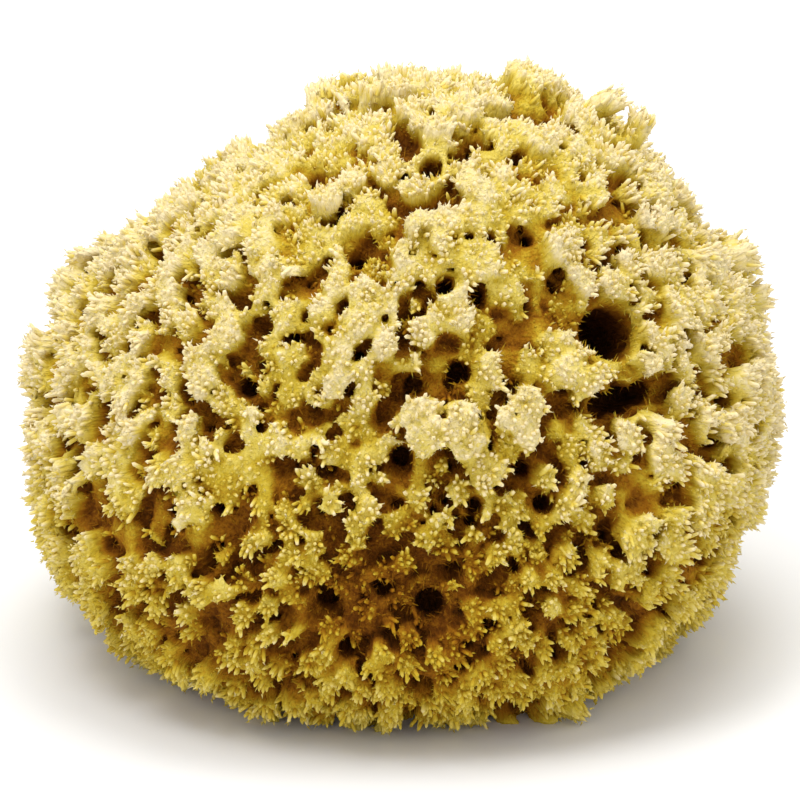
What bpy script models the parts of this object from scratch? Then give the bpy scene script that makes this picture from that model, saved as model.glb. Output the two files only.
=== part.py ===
"""A natural bath sponge, grown as one piece, cut flat where it held on to the rock and standing on that cut.

Metres, +Z up. The origin is on the surface that the sponge stands on, under the middle of its box.
The face is described as it is seen from the front (-Y) and a little above: a place on it is given as
millimetres right of and above the middle of the sponge, in the plane across that line of sight.
"""

import functools
import math
import random

import bmesh
import bpy
from mathutils import Vector

MM = 0.001
SEED = 20

# The line of sight that the outline belongs to, and the axes across it.
LOOK_DOWN = math.radians(22)
RIGHT = Vector((1, 0, 0))
UP = Vector((0, math.sin(LOOK_DOWN), math.cos(LOOK_DOWN)))
TOWARD = Vector((0, -math.cos(LOOK_DOWN), math.sin(LOOK_DOWN)))

# Where the middle of the sponge is, and how far from it the tips of the tufts reach, in millimetres.
MIDDLE = Vector((0.2, 2.4, 53)) * MM
OUTLINE_STEP = math.radians(30)
OUTLINE = (85, 80, 80, 73, 67, 75, 85.5, 87, 79.5, 75, 79, 82)  # from the right, anticlockwise
FRONT_REACH = 75
BACK_REACH = 72
ROUNDNESS = 2.2  # the exponent of the curve from the outline to the face; 2 would be an ellipse
SAG = 1.3  # added to it straight down the front, where the sponge is fuller above its foot

# The tufts: how many would cover the whole ball, how long they are, and how their heads differ.
TUFTS = 560
TUFT_LENGTH = 12.5
TUFT_SCATTER = 0.3  # of the spacing, how far a tuft stands from an even pattern
LENGTH_RANGE = (0.76, 1.1)
HEAD_WIDTH = (0.56, 0.78)  # the share of its cell that a head fills
HEAD_RAGGED = (0.8, 1.1)  # how much further in or out each corner of a head may be
HEAD_DOME = 2.6
HEAD_LEAN = 0.16  # of the way to the side of its cell
CREVICE_WANDER = 1.6

# Furrows across the face: the places that each runs through, then its reach to either side.
FURROWS = (
    (((36, 13), (27, 10), (19, 7), (12, 5)), 6.0),
    (((27, 10), (25, 20), (23, 30)), 4.5),
    (((5, 6), (0, -3), (-1, -12)), 5.0),
    (((-17, -44), (-4, -42), (7, -40), (9, -50)), 6.5),
    (((-37, 4), (-28, 3), (-18, -2)), 4.0),
    (((-9, 38), (-12, 28), (-15, 22)), 4.0),
)
FURROW_TUFTS = 0.35  # how long a tuft in a furrow is, beside the others
FURROW_DROP = 3.0

# Round canals that open between the tufts: place on the face, radius at the tips, depth under their feet.
FACE_CANALS = (
    ((44.7, 15.2), 7.2, 22),
    ((49.5, 0.5), 5.8, 16),
    ((12.5, 5.5), 3.4, 12),
    ((10.5, 26.5), 3.0, 11),
    ((17, 23), 2.8, 11),
    ((6.4, 54), 2.7, 10),
    ((16.5, 58), 2.5, 9),
    ((-0.5, -12), 3.2, 12),
    ((25.5, -14.5), 2.4, 10),
    ((30.5, -22.5), 2.6, 10),
    ((-10.5, 31), 3.0, 11),
    ((-35, 3), 3.0, 11),
    ((6, -43.5), 4.2, 13),
    ((-16.7, -43.6), 3.8, 12),
    ((-28.8, -60), 2.6, 9),
)
# The same on the top and the far side: azimuth from the right and height, both in degrees.
FAR_CANALS = (
    ((95, 38), 5.4, 17),
    ((62, 62), 4.0, 13),
    ((130, 20), 3.2, 11),
    ((50, 12), 3.0, 11),
    ((165, 45), 3.4, 11),
    ((112, -14), 2.8, 10),
    ((8, 48), 3.2, 11),
)
# The canals that the cut laid open in the foot: x and y under the middle, radius, depth.
FOOT_CANALS = (
    ((-22, 9), 4.2, 15),
    ((17, 14), 3.4, 13),
    ((25, -16), 4.6, 16),
    ((-9, -27), 3.2, 12),
    ((-33, -14), 2.6, 10),
    ((4, 28), 2.6, 10),
    ((9, -44), 2.4, 9),
)
FOOT_CANAL_SIDES = 10
CANAL_TAPER = 0.55  # a canal's width at its bottom, as a share of that at its mouth
CANAL_CLEARANCE = 1.6  # how many radii from a canal's middle the nearest tuft may stand

SPONGE_COLOUR = (0.67, 0.49, 0.16, 1.0)
SPONGE_ROUGHNESS = 0.95


def clear_scene():
    """Remove what the file opened with."""
    for thing in list(bpy.data.objects):
        bpy.data.objects.remove(thing)


def outline_reach(angle):
    """How far the outline reaches at this angle round the line of sight: a smooth curve through OUTLINE."""
    place = (angle / OUTLINE_STEP) % len(OUTLINE)
    first = int(place)
    t = place - first
    a, b, c, d = (OUTLINE[(first + k) % len(OUTLINE)] for k in (-1, 0, 1, 2))
    slope_b, slope_c = (c - a) / 2, (d - b) / 2
    bend_b = t**3 - 2 * t**2 + t
    bend_c = t**3 - t**2
    blend = 3 * t**2 - 2 * t**3
    return b * (1 - blend) + c * blend + slope_b * bend_b + slope_c * bend_c


def section(right, up, toward):
    """The reach across and along the line of sight in this direction, and the curve's exponent."""
    angle = math.atan2(up, right)
    along = FRONT_REACH if toward > 0 else BACK_REACH
    sag = SAG * max(0.0, -math.sin(angle)) if toward > 0 else 0.0
    return outline_reach(angle), along, ROUNDNESS + sag


def tip_and_axis(direction):
    """The point where a tuft growing this way from the middle would end, and the way it points."""
    right, up, toward = direction.dot(RIGHT), direction.dot(UP), direction.dot(TOWARD)
    across, along, power = section(right, up, toward)
    flat = math.hypot(right, up)
    out, depth = flat / across, abs(toward) / along
    length = (out**power + depth**power) ** (-1 / power)
    out, depth = out * length, depth * length
    axis = (RIGHT * right + UP * up) * (out ** (power - 1) / across / max(flat, 1e-9))
    axis += TOWARD * math.copysign(depth ** (power - 1) / along, toward)
    return MIDDLE + direction * length * MM, axis.normalized()


def face_direction(place):
    """The direction from the middle to a place on the face."""
    right, up = place
    across, along, power = section(right, up, 1.0)
    out = min(1.0, math.hypot(right, up) / across)
    toward = along * (1 - out**power) ** (1 / power)
    return (RIGHT * right + UP * up + TOWARD * toward).normalized()


def far_direction(place):
    """The direction at an azimuth from the right and a height above the horizon, in degrees."""
    azimuth, height = (math.radians(angle) for angle in place)
    level = math.cos(height)
    return Vector((math.cos(azimuth) * level, math.sin(azimuth) * level, math.sin(height)))


def distance_to_stretch(point, start, end):
    """The distance from a point to the straight stretch between two others."""
    along = end - start
    share = min(1.0, max(0.0, (point - start).dot(along) / along.length_squared))
    return (point - start - along * share).length


@functools.cache
def points_along(line):
    """The points on the face that a furrow's line runs through."""
    return [tip_and_axis(face_direction(place))[0] for place in line]


def furrow_share(direction):
    """1 within a furrow's reach, fading to 0 at twice that reach."""
    tip, _ = tip_and_axis(direction)
    share = 0.0
    for line, half_width in FURROWS:
        points = points_along(line)
        near = min(distance_to_stretch(tip, a, b) for a, b in zip(points, points[1:]))
        share = max(share, 2 - near / (half_width * MM))
    return min(1.0, share)


def canals():
    """Every canal between the tufts, as its direction from the middle, radius and depth."""
    face = [(face_direction(place), radius, depth) for place, radius, depth in FACE_CANALS]
    return face + [(far_direction(place), radius, depth) for place, radius, depth in FAR_CANALS]


def tuft_directions(opened, chance):
    """An even spread over a ball, each direction moved a little at random, clear of the canals."""
    turn = math.pi * (3 - math.sqrt(5))
    spacing = math.sqrt(4 * math.pi / TUFTS)
    mouths = [(tip_and_axis(direction)[0], radius) for direction, radius, _ in opened]
    found = []
    for i in range(TUFTS):
        height = 1 - (2 * i + 1) / TUFTS
        level = math.sqrt(1 - height * height)
        even = Vector((math.cos(i * turn) * level, math.sin(i * turn) * level, height))
        moved = Vector([chance.uniform(-1, 1) for _ in range(3)])
        direction = (even + moved * TUFT_SCATTER * spacing).normalized()
        tip, _ = tip_and_axis(direction)
        if all((tip - mouth).length > radius * CANAL_CLEARANCE * MM for mouth, radius in mouths):
            found.append(direction)
    return found


def cells_round(directions):
    """The corners of the cells that lie nearest to each direction, and each cell as their indices."""
    hull = bmesh.new()
    for direction in directions:
        hull.verts.new(direction)
    bmesh.ops.convex_hull(hull, input=hull.verts)
    hull.faces.index_update()
    corners = [face.calc_center_median().normalized() for face in hull.faces]
    cells = []
    for vert in hull.verts:
        side = vert.co.orthogonal().normalized()
        other = vert.co.cross(side)
        around = [face.index for face in vert.link_faces]
        around.sort(key=lambda i: math.atan2(corners[i].dot(other), corners[i].dot(side)))
        cells.append(around)
    hull.free()
    return corners, cells


def raise_tuft(ball, head, reach, direction, chance):
    """Lift a cell's copy towards its reach to be the head of its tuft, and give it a domed top."""
    _, axis = tip_and_axis(direction)
    length = chance.uniform(*LENGTH_RANGE) * (1 - (1 - FURROW_TUFTS) * furrow_share(direction))
    width = chance.uniform(*HEAD_WIDTH)
    for vert in head.verts:
        vert.co = vert.co.lerp(vert.co + vert[reach], length)
    middle = head.calc_center_median()
    lean = (chance.choice(head.verts).co - middle) * HEAD_LEAN
    for vert in head.verts:
        vert.co = middle + lean + (vert.co - middle) * width * chance.uniform(*HEAD_RAGGED)
    bmesh.ops.poke(ball, faces=[head])["verts"][0].co = middle + lean + axis * HEAD_DOME * MM


def sink_canal(bottom, direction, depth):
    """Push a cell's copy inward and narrow it, to be the bottom of its canal."""
    _, axis = tip_and_axis(direction)
    middle = bottom.calc_center_median()
    for vert in bottom.verts:
        vert.co = middle + (vert.co - middle) * CANAL_TAPER - axis * depth * MM


def tufted_ball(chance):
    """The sponge before it was cut: a skin of cells, with a tuft or a canal in each."""
    opened = canals()
    directions = [direction for direction, _, _ in opened] + tuft_directions(opened, chance)
    corners, cells = cells_round(directions)
    ball = bmesh.new()
    reach = ball.verts.layers.float_vector.new("reach")
    for corner in corners:
        tip, axis = tip_and_axis(corner)
        drop = TUFT_LENGTH + CREVICE_WANDER * chance.uniform(-1, 1)
        drop += FURROW_DROP * furrow_share(corner)
        foot = ball.verts.new(tip - axis * drop * MM)
        foot[reach] = axis * (drop - HEAD_DOME) * MM
    ball.verts.ensure_lookup_table()
    skin = [ball.faces.new([ball.verts[i] for i in around]) for around in cells]
    copies = bmesh.ops.extrude_discrete_faces(ball, faces=skin)["faces"]
    for bottom, (direction, _, depth) in zip(copies, opened):
        sink_canal(bottom, direction, depth)
    for head, direction in zip(copies[len(opened):], directions[len(opened):]):
        raise_tuft(ball, head, reach, direction, chance)
    bmesh.ops.triangulate(ball, faces=[face for face in ball.faces if len(face.verts) > 3])
    bmesh.ops.recalc_face_normals(ball, faces=ball.faces)
    return finished_mesh(ball, "sponge")


def finished_mesh(shape, name):
    """The shape as a mesh of this name."""
    mesh = bpy.data.meshes.new(name)
    shape.to_mesh(mesh)
    shape.free()
    return mesh


def add_object(name, mesh):
    """An object of this name in the scene."""
    made = bpy.data.objects.new(name, mesh)
    bpy.context.scene.collection.objects.link(made)
    return made


def add_cutter(name, shape):
    """A shape that is taken away from the sponge, and isn't part of it."""
    made = add_object(name, finished_mesh(shape, name))
    made.hide_render = True
    made.display_type = "WIRE"
    return made


def rock():
    """A block in the place of the rock, whose top is the flat cut."""
    block = bmesh.new()
    side = 4 * FRONT_REACH * MM
    bmesh.ops.create_cube(block, size=side)
    bmesh.ops.translate(block, verts=block.verts, vec=(0, 0, -side / 2))
    return add_cutter("rock", block)


def foot_canals():
    """The tapered ends of canals, rising from the flat cut."""
    ends = bmesh.new()
    for (x, y), radius, depth in FOOT_CANALS:
        below = radius * MM
        length = depth * MM + below
        made = bmesh.ops.create_cone(
            ends,
            cap_ends=True,
            segments=FOOT_CANAL_SIDES,
            radius1=radius * MM,
            radius2=radius * MM * CANAL_TAPER,
            depth=length,
        )
        bmesh.ops.translate(ends, verts=made["verts"], vec=(x * MM, y * MM, length / 2 - below))
    return add_cutter("foot_canals", ends)


def spongin():
    """The dry, bleached fibre that the whole sponge is."""
    made = bpy.data.materials.new("spongin")
    made.use_nodes = True
    surface = made.node_tree.nodes["Principled BSDF"]
    surface.inputs["Base Color"].default_value = SPONGE_COLOUR
    surface.inputs["Roughness"].default_value = SPONGE_ROUGHNESS
    surface.inputs["Metallic"].default_value = 0.0
    return made


def main():
    """Build the sponge as one object, cut flat below."""
    clear_scene()
    sponge = add_object("sponge", tufted_ball(random.Random(SEED)))
    sponge.data.materials.append(spongin())
    for cutter in (rock(), foot_canals()):
        cut = sponge.modifiers.new(cutter.name, "BOOLEAN")
        cut.operation = "DIFFERENCE"
        cut.solver = "EXACT"
        cut.object = cutter


main()
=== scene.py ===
"""A natural bath sponge as it looks: its fused fibre, the fibres' free ends, a pale floor and soft light.

Places and sizes of the sponge are in millimetres until its meshes are made, which are in metres. A place on
its face is given as millimetres right of and above its middle, across a line of sight a little from above.
"""

import logging
import math
import random
from dataclasses import dataclass, field
from enum import Enum

import bpy
import numpy as np
import openvdb
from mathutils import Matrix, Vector

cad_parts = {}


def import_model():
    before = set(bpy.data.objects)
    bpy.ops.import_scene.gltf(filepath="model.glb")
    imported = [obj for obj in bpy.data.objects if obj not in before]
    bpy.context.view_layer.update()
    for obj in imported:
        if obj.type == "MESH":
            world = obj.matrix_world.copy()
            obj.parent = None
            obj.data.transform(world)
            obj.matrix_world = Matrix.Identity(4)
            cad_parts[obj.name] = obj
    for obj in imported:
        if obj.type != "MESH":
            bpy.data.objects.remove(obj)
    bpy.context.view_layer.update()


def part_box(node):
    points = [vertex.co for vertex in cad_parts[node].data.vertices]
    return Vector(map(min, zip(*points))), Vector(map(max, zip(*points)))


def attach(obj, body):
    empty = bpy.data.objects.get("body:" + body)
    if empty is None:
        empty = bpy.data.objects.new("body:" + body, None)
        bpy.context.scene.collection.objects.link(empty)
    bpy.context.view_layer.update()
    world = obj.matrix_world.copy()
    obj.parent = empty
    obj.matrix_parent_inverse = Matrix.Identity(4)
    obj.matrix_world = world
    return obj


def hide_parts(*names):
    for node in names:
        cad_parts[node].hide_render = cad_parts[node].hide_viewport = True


MM = 0.001
SEED = 20
MOST_TRIANGLES = 190_000  # in one piece
OPEN_RADIUS = 3.4  # canals up to this radius are partly hidden by the tufts round them
GOLDEN_SHARE = 3 - math.sqrt(5)  # of half a turn, from one point of a spiral to the next
FAR_OUT = 9.0  # the number in a place of the block that nothing is near

Array = np.ndarray
Pair = tuple[float, float]

log = logging.getLogger("sponge")


def smooth_step(values: Array, low: float, high: float) -> Array:
    """Rise smoothly from 0 at low to 1 at high.

    Args:
        values: Any numbers.
        low: Where the rise starts.
        high: Where it ends, which may be below low for a fall.

    Returns:
        The share for each value.
    """
    t = np.clip((values - low) / (high - low), 0.0, 1.0)
    return t * t * (3 - 2 * t)


def unit(vectors: Array) -> Array:
    """Scale each row to a length of 1."""
    return vectors / np.maximum(np.linalg.norm(vectors, axis=-1, keepdims=True), 1e-9)


def sides_of(axes: Array) -> tuple[Array, Array]:
    """Find two directions square to each axis and to each other.

    Args:
        axes: Unit directions, one a row.

    Returns:
        The two directions for each axis.
    """
    helper = np.where(np.abs(axes[:, 2:3]) < 0.8, np.array([[0.0, 0.0, 1.0]]), np.array([[1.0, 0.0, 0.0]]))
    side = unit(np.cross(helper, axes))
    return side, np.cross(axes, side)


@dataclass(frozen=True)
class Form:
    """The ball that the tips of the tufts reach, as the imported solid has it."""

    look_down: float = math.radians(22)
    middle: tuple[float, float, float] = (0.2, 2.4, 53.0)
    outline: tuple[float, ...] = (85, 80, 80, 73, 67, 75, 85.5, 87, 79.5, 75, 79, 82)
    front_reach: float = 75.0
    back_reach: float = 72.0
    roundness: float = 2.2
    sag: float = 1.3
    tuft_length: float = 12.5

    @property
    def right(self) -> Array:
        """The direction to the right across the line of sight."""
        return np.array([1.0, 0.0, 0.0])

    @property
    def up(self) -> Array:
        """The direction up across the line of sight."""
        return np.array([0.0, math.sin(self.look_down), math.cos(self.look_down)])

    @property
    def toward(self) -> Array:
        """The direction towards the eye."""
        return np.array([0.0, -math.cos(self.look_down), math.sin(self.look_down)])

    def outline_reach(self, angles: Array) -> Array:
        """Read the outline's smooth curve.

        Args:
            angles: Angles round the line of sight, from the right, anticlockwise.

        Returns:
            How far the outline reaches at each.
        """
        reaches = np.array(self.outline)
        count = len(reaches)
        place = (angles / math.tau * count) % count
        first = place.astype(int)
        t = place - first
        a, b, c, d = (reaches[(first + k) % count] for k in (-1, 0, 1, 2))
        bend_b = t**3 - 2 * t**2 + t
        bend_c = t**3 - t**2
        blend = 3 * t**2 - 2 * t**3
        return b * (1 - blend) + c * blend + (c - a) / 2 * bend_b + (d - b) / 2 * bend_c

    def reach(self, directions: Array) -> tuple[Array, Array]:
        """Find how far the ball reaches each way from its middle, and how it faces there.

        Args:
            directions: Unit directions, one a row.

        Returns:
            The reach for each, and the outward direction square to the ball there.
        """
        right, up, toward = (directions @ axis for axis in (self.right, self.up, self.toward))
        angle = np.arctan2(up, right)
        across = self.outline_reach(angle)
        along = np.where(toward > 0, self.front_reach, self.back_reach)
        power = self.roundness + self.sag * np.maximum(0, -np.sin(angle)) * (toward > 0)
        flat = np.maximum(np.hypot(right, up), 1e-9)
        out, deep = flat / across, np.abs(toward) / along
        length = (out**power + deep**power) ** (-1 / power)
        out, deep = out * length, deep * length
        lean = (out ** (power - 1) / across / flat)[:, None]
        axes = (right[:, None] * self.right + up[:, None] * self.up) * lean
        axes += (np.sign(toward) * deep ** (power - 1) / along)[:, None] * self.toward
        return length, unit(axes)

    def direction_to(self, place: Pair) -> Array:
        """Find the direction from the middle to a place on the face.

        Args:
            place: How far right of and above the middle the place is.

        Returns:
            The unit direction.
        """
        right, up = place
        angle = math.atan2(up, right)
        across = float(self.outline_reach(np.array([angle]))[0])
        power = self.roundness + self.sag * max(0.0, -math.sin(angle))
        out = min(1.0, math.hypot(right, up) / across)
        toward = self.front_reach * (1 - out**power) ** (1 / power)
        return unit(right * self.right + up * self.up + toward * self.toward)

    def tips(self, directions: Array) -> tuple[Array, Array]:
        """Find the points that the ball reaches each way, and the outward directions there."""
        length, axes = self.reach(directions)
        return np.array(self.middle) + directions * length[:, None], axes


@dataclass(frozen=True)
class Swell:
    """A rise of the form, or a hollow where its height is below 0."""

    place: Pair
    reach: float
    height: float


@dataclass(frozen=True)
class Canal:
    """A round canal: its mouth's place and radius, and how deep it runs."""

    place: Pair
    radius: float
    depth: float


def read_swells(*rows: tuple[float, float, float, float]) -> tuple[Swell, ...]:
    """Read swells, each from the two numbers of its place, its reach and its height."""
    return tuple(Swell((right, up), reach, height) for right, up, reach, height in rows)


def read_canals(*rows: tuple[float, float, float, float]) -> tuple[Canal, ...]:
    """Read canals, each from the two numbers of its place, its radius and its depth."""
    return tuple(Canal((first, second), radius, depth) for first, second, radius, depth in rows)


FACE_SWELLS = read_swells(
    (-14, 75, 10, 8.0), (26, 70, 8, 4.0), (-31, 66, 8, 3.0), (-45, 53, 7, 5.5), (-74, -42, 8, 3.0),
    (-48, -66, 9, -4.0), (70, -50, 9, 3.0), (-78, 28, 9, 4.0), (-85, 14, 8, 3.5), (79, 29, 9, 5.0),
    (50, 60, 7, 5.5), (12, 74, 9, 2.5), (-60, -50, 9, -1.5), (-26, -70, 9, 1.0), (-58, 48, 7, -7.0),
    (80, -14, 9, -1.0), (8, -9, 7, 4.5), (21, -5, 7, 4.5), (34, -1, 6, 4.5), (32, -12, 8, 3.5),
    (41, 7, 4, 4.0), (60, 22, 8, 3.0), (30, 37, 7, 3.0), (-31, 38, 9, 2.5), (45, 63, 6, 3.5),
    (0, 72, 9, 2.0), (-22, 62, 8, -2.0), (36, 14, 4.5, -9), (27, 11, 4.5, -9), (19, 9, 4.5, -8),
    (11, 6, 4.5, -8), (3, 3, 4, -7), (26, 26, 3.5, -6), (13, 24, 4, -6), (-10, 30, 4, -5),
    (-28, 15, 4, -6), (-35, 3, 4, -6), (-51, 14, 3.5, -4), (-16, -44, 6, -4.5), (-4, -43, 6, -5),
    (7, -42, 6, -5), (-10, -53, 5, -4), (64, 9, 4, -4),
)
# Where the growth is thin, with how thin it is, up to 1, in the place of the height.
THIN_GROWTH = read_swells(
    (-6, -42, 15, 0.45), (8, -48, 12, 0.35), (-14, -26, 10, 0.2), (8, -20, 10, 0.15), (4, -57, 16, 0.75),
    (31, -34, 11, 0.45), (22, 14, 12, 0.4), (-34, 6, 9, 0.25),
)
FACE_CANALS = read_canals(
    (46.5, 15.6, 6.8, 24), (44.5, -0.8, 3.6, 17), (49.5, 0.6, 4.0, 18), (54.6, 2.4, 3.6, 17),
    (12.1, 6.6, 3.0, 14), (9.2, 25.8, 2.4, 13), (16.5, 24.0, 2.2, 12), (6.2, 53.7, 2.3, 12),
    (16.3, 58.5, 2.2, 11), (-0.4, -11.7, 3.0, 13), (2.0, 4.0, 2.6, 12), (25.5, -14.5, 2.2, 13),
    (30.2, -22.2, 2.5, 12), (-10.6, 32.4, 2.6, 13), (-21.4, 27.0, 1.7, 12), (-34.8, 3.2, 2.8, 12),
    (5.9, -44.6, 4.0, 14), (-16.7, -43.6, 3.2, 13), (-4.5, -40.8, 2.6, 12), (11.0, -36.5, 2.4, 12),
    (15.2, -22.2, 2.0, 12), (-12.5, -55.0, 2.6, 12), (-28.8, -62.0, 2.4, 10), (-60.8, 12.6, 2.4, 10),
    (62.8, 14.8, 2.0, 10), (69.0, -6.8, 2.2, 10), (34.4, 25.5, 1.9, 11),
)
# The same for the top and the far side, placed by azimuth from the right and height, in degrees.
FAR_CANALS = read_canals(
    (95, 38, 5.0, 22), (62, 62, 3.6, 17), (130, 20, 3.0, 14), (50, 12, 2.8, 14), (165, 45, 3.2, 14),
    (112, -14, 2.6, 13), (8, 48, 3.0, 14), (75, 5, 2.2, 12), (150, -8, 2.4, 12), (118, 52, 2.2, 12),
)
# And for the canals that the cut laid open in the foot, placed by x and y.
FOOT_CANALS = read_canals(
    (-22, 9, 4.2, 15), (17, 14, 3.4, 13), (25, -16, 4.6, 16), (-9, -27, 3.2, 12), (-33, -14, 2.6, 10),
    (4, 28, 2.6, 10), (9, -44, 2.4, 9),
)


class Growth(Enum):
    """How the tufts grow: blunt lumps above, small stars low on the sponge, tall brushes at its sides."""

    LUMP = "lump"
    STAR = "star"
    BRUSH = "brush"


@dataclass(frozen=True)
class Habit:
    """The sizes of one way of growing, in millimetres, but for the counts, the narrowing and the splay."""

    head_radius: Pair
    fingers: tuple[int, int]
    finger_tip: float
    splay: float
    tuft_shorter: Pair
    bunch_shorter: Pair
    ragged: float
    bunch_apart: float
    bunches: tuple[int, int] = (2, 3)
    narrow: float = 1.0
    finger_root: float = 1.15


HABITS = {
    Growth.LUMP: Habit(
        head_radius=(3.3, 4.3), fingers=(17, 21), finger_tip=0.85, splay=0.35, tuft_shorter=(-0.2, 4.4),
        bunch_shorter=(-0.6, 1.6), ragged=1.3, bunch_apart=3.2, finger_root=1.3,
    ),
    Growth.STAR: Habit(
        head_radius=(2.6, 3.6), fingers=(12, 14), finger_tip=0.7, splay=0.6, tuft_shorter=(0.8, 3.0),
        bunch_shorter=(-0.6, 2.2), ragged=1.9, bunch_apart=4.0, bunches=(3, 4),
    ),
    Growth.BRUSH: Habit(
        head_radius=(3.5, 4.7), fingers=(18, 22), finger_tip=0.75, splay=0.4, tuft_shorter=(0.4, 2.4),
        bunch_shorter=(-0.6, 1.8), ragged=1.6, bunch_apart=3.9, narrow=0.75,
    ),
}


@dataclass
class Fingers:
    """The fingers that the tufts are made of, one a row."""

    roots: Array
    tips: Array
    root_radii: Array
    tip_radii: Array
    ways: Array


@dataclass(frozen=True)
class Relief:
    """Swells and hollows in their places on the form, one a row."""

    points: Array
    reaches: Array
    heights: Array

    def at(self, points: Array) -> Array:
        """Add up how high they stand at some points.

        Args:
            points: The points, one a row.

        Returns:
            The height at each.
        """
        total = np.zeros(len(points))
        batch = 20_000
        for first in range(0, len(points), batch):
            some = points[first : first + batch]
            away = np.linalg.norm(some[:, None] - self.points[None], axis=2) / self.reaches
            total[first : first + batch] = np.exp(-away * away) @ self.heights
        return total


@dataclass
class Tufts:
    """The tufts that stand all over the sponge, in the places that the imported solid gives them."""

    form: Form
    count: int = 560
    scatter: float = 0.3
    low_clumps: int = 5
    low_fingers: int = 4
    low_ring: Pair = (3.8, 7.8)
    low_depth: Pair = (2.0, 8.0)
    low_length: float = 8.0
    low_lean: float = 0.25
    low_spread: Pair = (0.8, 1.7)
    low_ragged: float = 1.8
    gap_depth: float = 2.0
    facing: float = 0.6  # how far the canals of the face turn to the eye
    masses: int = 130
    mass_reach: Pair = (6.0, 10.0)
    mass_height: float = 1.7
    star_heights: Pair = (6.0, -30.0)  # from no stars to nothing else
    brush_sides: Pair = (30.0, 55.0)
    lowest_tip: float = -6.0
    open_margin: float = 0.3
    small_margin: float = -1.1  # the tufts stand a little over the mouths of small canals
    mouth_radii: float = 4.0
    mouth_beyond: float = 12.0
    apart_share: Pair = (0.8, 1.15)
    length_share: Pair = (0.85, 1.1)
    squeeze: Pair = (0.7, 1.0)
    lean: float = 0.16
    dome: float = 0.16
    tallest: float = -0.2
    root_spread: float = 0.34
    finger_thick: Pair = (0.85, 1.15)
    finger_sway: float = 0.12
    canals: list[tuple[Array, Array, float, float]] = field(default_factory=list)
    swells: Relief = field(init=False)
    thin_places: Relief = field(init=False)

    def __post_init__(self) -> None:
        """Place the swells, the thin growth and the canals on the form."""
        self.swells = self.relief(FACE_SWELLS, self.masses)
        self.thin_places = self.relief(THIN_GROWTH, 0)
        for canal in FACE_CANALS:
            self.open_canal(self.form.direction_to(canal.place), canal, self.facing)
        for canal in FAR_CANALS:
            azimuth, height = (math.radians(angle) for angle in canal.place)
            level = math.cos(height)
            way = np.array([math.cos(azimuth) * level, math.sin(azimuth) * level, math.sin(height)])
            self.open_canal(way, canal, 0.0)

    def relief(self, swells: tuple[Swell, ...], scattered: int) -> Relief:
        """Place swells on the form.

        Args:
            swells: The swells of the face.
            scattered: How many more to scatter over the whole form, half of them hollows.

        Returns:
            Them all.
        """
        chance = np.random.default_rng(SEED)
        ways = [self.form.direction_to(swell.place) for swell in swells]
        ways += list(unit(chance.normal(size=(scattered, 3))))
        reaches = [swell.reach for swell in swells] + list(chance.uniform(*self.mass_reach, scattered))
        heights = [swell.height for swell in swells] + list(chance.normal(0, self.mass_height, scattered))
        points, _ = self.form.tips(np.array(ways))
        return Relief(points, np.array(reaches), np.array(heights))

    def open_canal(self, direction: Array, canal: Canal, facing: float) -> None:
        """Add a canal that opens in this direction from the middle and is turned so far to the eye."""
        tip, axis = self.form.tips(direction[None])
        self.canals.append((tip[0], unit(axis[0] + self.form.toward * facing), canal.radius, canal.depth))

    def directions(self) -> Array:
        """Spread the tufts evenly over a ball, each moved a little at random.

        Returns:
            A unit direction for each tuft.
        """
        chance = random.Random(SEED)
        spacing = math.sqrt(4 * math.pi / self.count)
        rows = []
        for i in range(self.count):
            height = 1 - (2 * i + 1) / self.count
            level = math.sqrt(1 - height * height)
            turn = i * (math.pi * GOLDEN_SHARE)
            even = np.array([math.cos(turn) * level, math.sin(turn) * level, height])
            moved = np.array([chance.uniform(-1, 1) for _ in range(3)])
            rows.append(even + moved * self.scatter * spacing)
        return unit(np.array(rows))

    def clear_of_canals(self, tips: Array) -> Array:
        """Tell which tips stand clear of every canal's mouth, or only just over the edge of a small one.

        Args:
            tips: Points on the form.

        Returns:
            True for each tip that is clear.
        """
        clear = np.ones(len(tips), bool)
        for mouth, axis, radius, _ in self.canals:
            margin = self.open_margin if radius > OPEN_RADIUS else self.small_margin
            way = tips - mouth
            beside = np.linalg.norm(way - (way @ axis)[:, None] * axis, axis=1)
            near = radius * self.mouth_radii + self.mouth_beyond
            clear &= (beside > radius + margin) | (np.linalg.norm(way, axis=1) > near)
        return clear

    def fingers(self, rng: np.random.Generator) -> Fingers:
        """Grow every finger of every tuft.

        Args:
            rng: The source of what differs between them.

        Returns:
            The fingers.
        """
        points, axes = self.form.tips(self.directions())
        middle = np.array(self.form.middle)
        height = (points - middle) @ self.form.up
        star_share = smooth_step(height, *self.star_heights)
        brush_share = smooth_step(np.abs(points[:, 0] - middle[0]), *self.brush_sides)
        thin = np.clip(self.thin_places.at(points), 0, 1)
        found: list[tuple[Array, ...]] = []
        for point, axis, star, brush, gap in zip(points, axes, star_share, brush_share, thin):
            habit = HABITS[Growth.STAR if rng.random() < star else Growth.LUMP]
            if rng.random() < brush:
                habit = HABITS[Growth.BRUSH]
            found += self.tuft(point, axis, habit, rng)
            found += self.undergrowth(point, axis, HABITS[Growth.STAR], gap, rng)
        columns = [np.array(column) for column in zip(*found)]
        keep = self.clear_of_canals(columns[1])
        keep &= columns[1][:, 2] > self.lowest_tip
        return Fingers(*(column[keep] for column in columns))

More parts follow.
